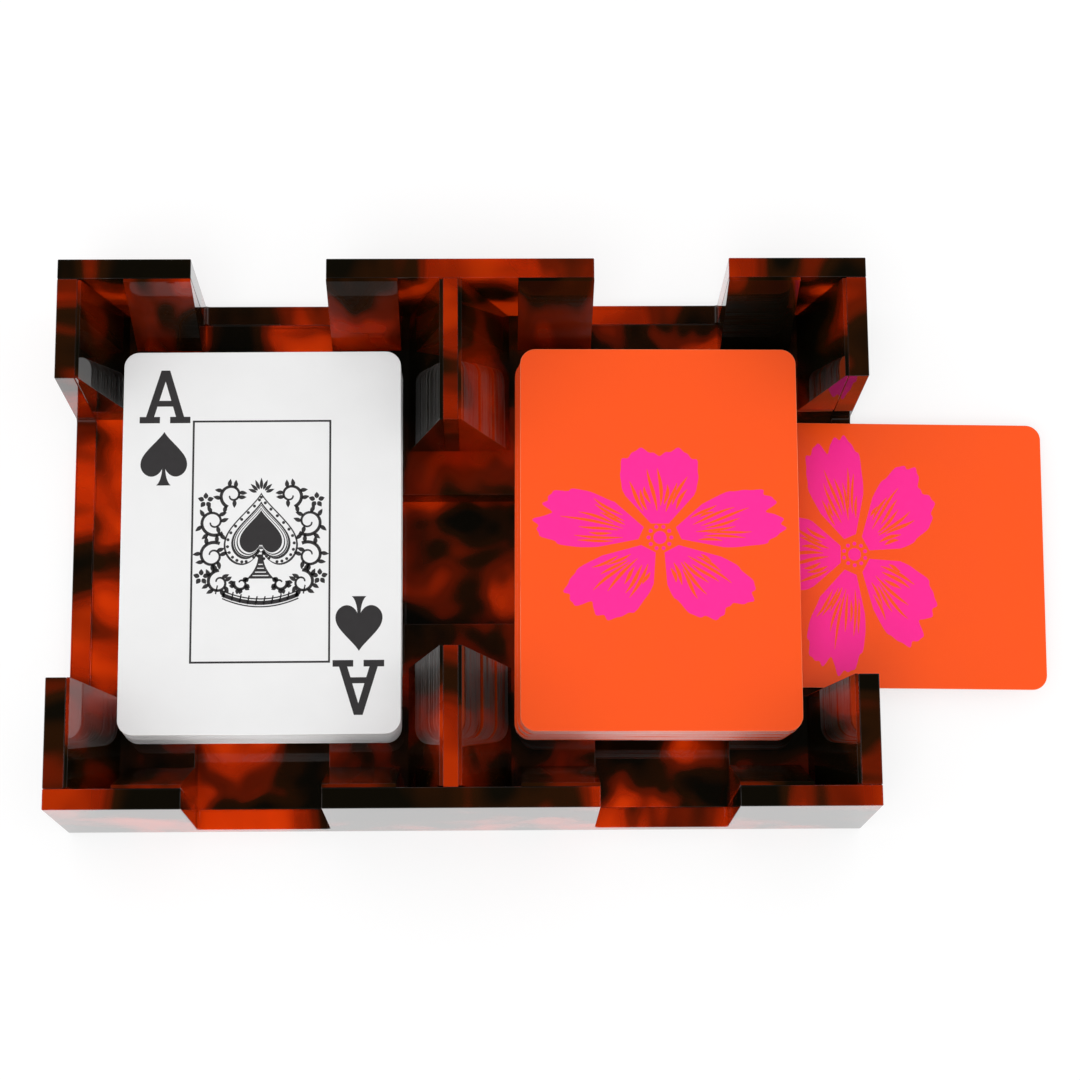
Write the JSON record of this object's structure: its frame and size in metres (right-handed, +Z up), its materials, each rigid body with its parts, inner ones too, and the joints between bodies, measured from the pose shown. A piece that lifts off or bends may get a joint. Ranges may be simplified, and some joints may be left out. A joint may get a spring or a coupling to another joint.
{
  "type": "card tray",
  "caption": "Open acrylic tray for canasta: a discard well and a stock well side by side, with notched walls, sloping guides, raised shelves and a pack of cards in each well.",
  "frame": {"origin": "centre of the tray's rectangle on its underside; the loose side card reaches past the tray on the right", "axes": "+X to the right, from the discard well to the stock well; +Y to the back; +Z up, out of the open wells"},
  "size_m": [0.2278, 0.125, 0.0413],
  "materials": {
    "shell_sheet": "polished tortoiseshell acrylic sheet, near-black and amber-red blotches",
    "shell_riser": "polished tortoiseshell acrylic, darker",
    "shell_guide": "polished tortoiseshell acrylic, sloping face",
    "card_white": "coated playing-card stock, white face",
    "card_orange": "coated playing-card stock, orange back"
  },
  "bodies": {
    "tray": {"base_plate": "shell_sheet", "front_wall": "shell_sheet", "back_wall": "shell_sheet", "left_wall": "shell_sheet", "right_wall": "shell_sheet", "divider_back": "shell_sheet", "divider_front": "shell_sheet", "riser_back_left": "shell_riser", "riser_back_middle": "shell_riser", "riser_back_right": "shell_riser", "riser_front_left": "shell_riser", "riser_front_middle": "shell_riser", "riser_front_right": "shell_riser", "guide_discard_wall_back": "shell_guide", "guide_discard_wall_front": "shell_guide", "guide_discard_divider_back": "shell_guide", "guide_discard_divider_front": "shell_guide", "guide_discard_outer_back": "shell_guide", "guide_discard_outer_front": "shell_guide", "guide_discard_inner_back": "shell_guide", "guide_discard_inner_front": "shell_guide", "guide_stock_wall_back": "shell_guide", "guide_stock_wall_front": "shell_guide", "guide_stock_divider_back": "shell_guide", "guide_stock_divider_front": "shell_guide", "guide_stock_outer_back": "shell_guide", "guide_stock_outer_front": "shell_guide", "guide_stock_inner_back": "shell_guide", "guide_stock_inner_front": "shell_guide"},
    "discard_pack": {"discard_packet_lower": "card_white", "discard_packet_upper": "card_white"},
    "discard_top_card": {"discard_top_card": "card_white"},
    "stock_pack": {"stock_packet_lower": "card_orange", "stock_packet_middle": "card_orange", "stock_packet_upper": "card_orange"},
    "stock_top_card": {"stock_top_card": "card_orange"},
    "side_card": {"side_card": "card_orange"}
  },
  "joints": [
    {"name": "discard_pack_lift", "type": "slide", "parent": "tray", "child": "discard_pack", "axis": [0, 0, 1], "range_m": [0, 0.06]},
    {"name": "discard_top_card_lift", "type": "slide", "parent": "discard_pack", "child": "discard_top_card", "axis": [0, 0, 1], "range_m": [0, 0.03]},
    {"name": "stock_pack_lift", "type": "slide", "parent": "tray", "child": "stock_pack", "axis": [0, 0, 1], "range_m": [0, 0.06]},
    {"name": "stock_top_card_lift", "type": "slide", "parent": "stock_pack", "child": "stock_top_card", "axis": [0, 0, 1], "range_m": [0, 0.03]},
    {"name": "side_card_slide", "type": "slide", "parent": "tray", "child": "side_card", "axis": [1, 0, 0], "range_m": [-0.015, 0.05]}
  ]
}
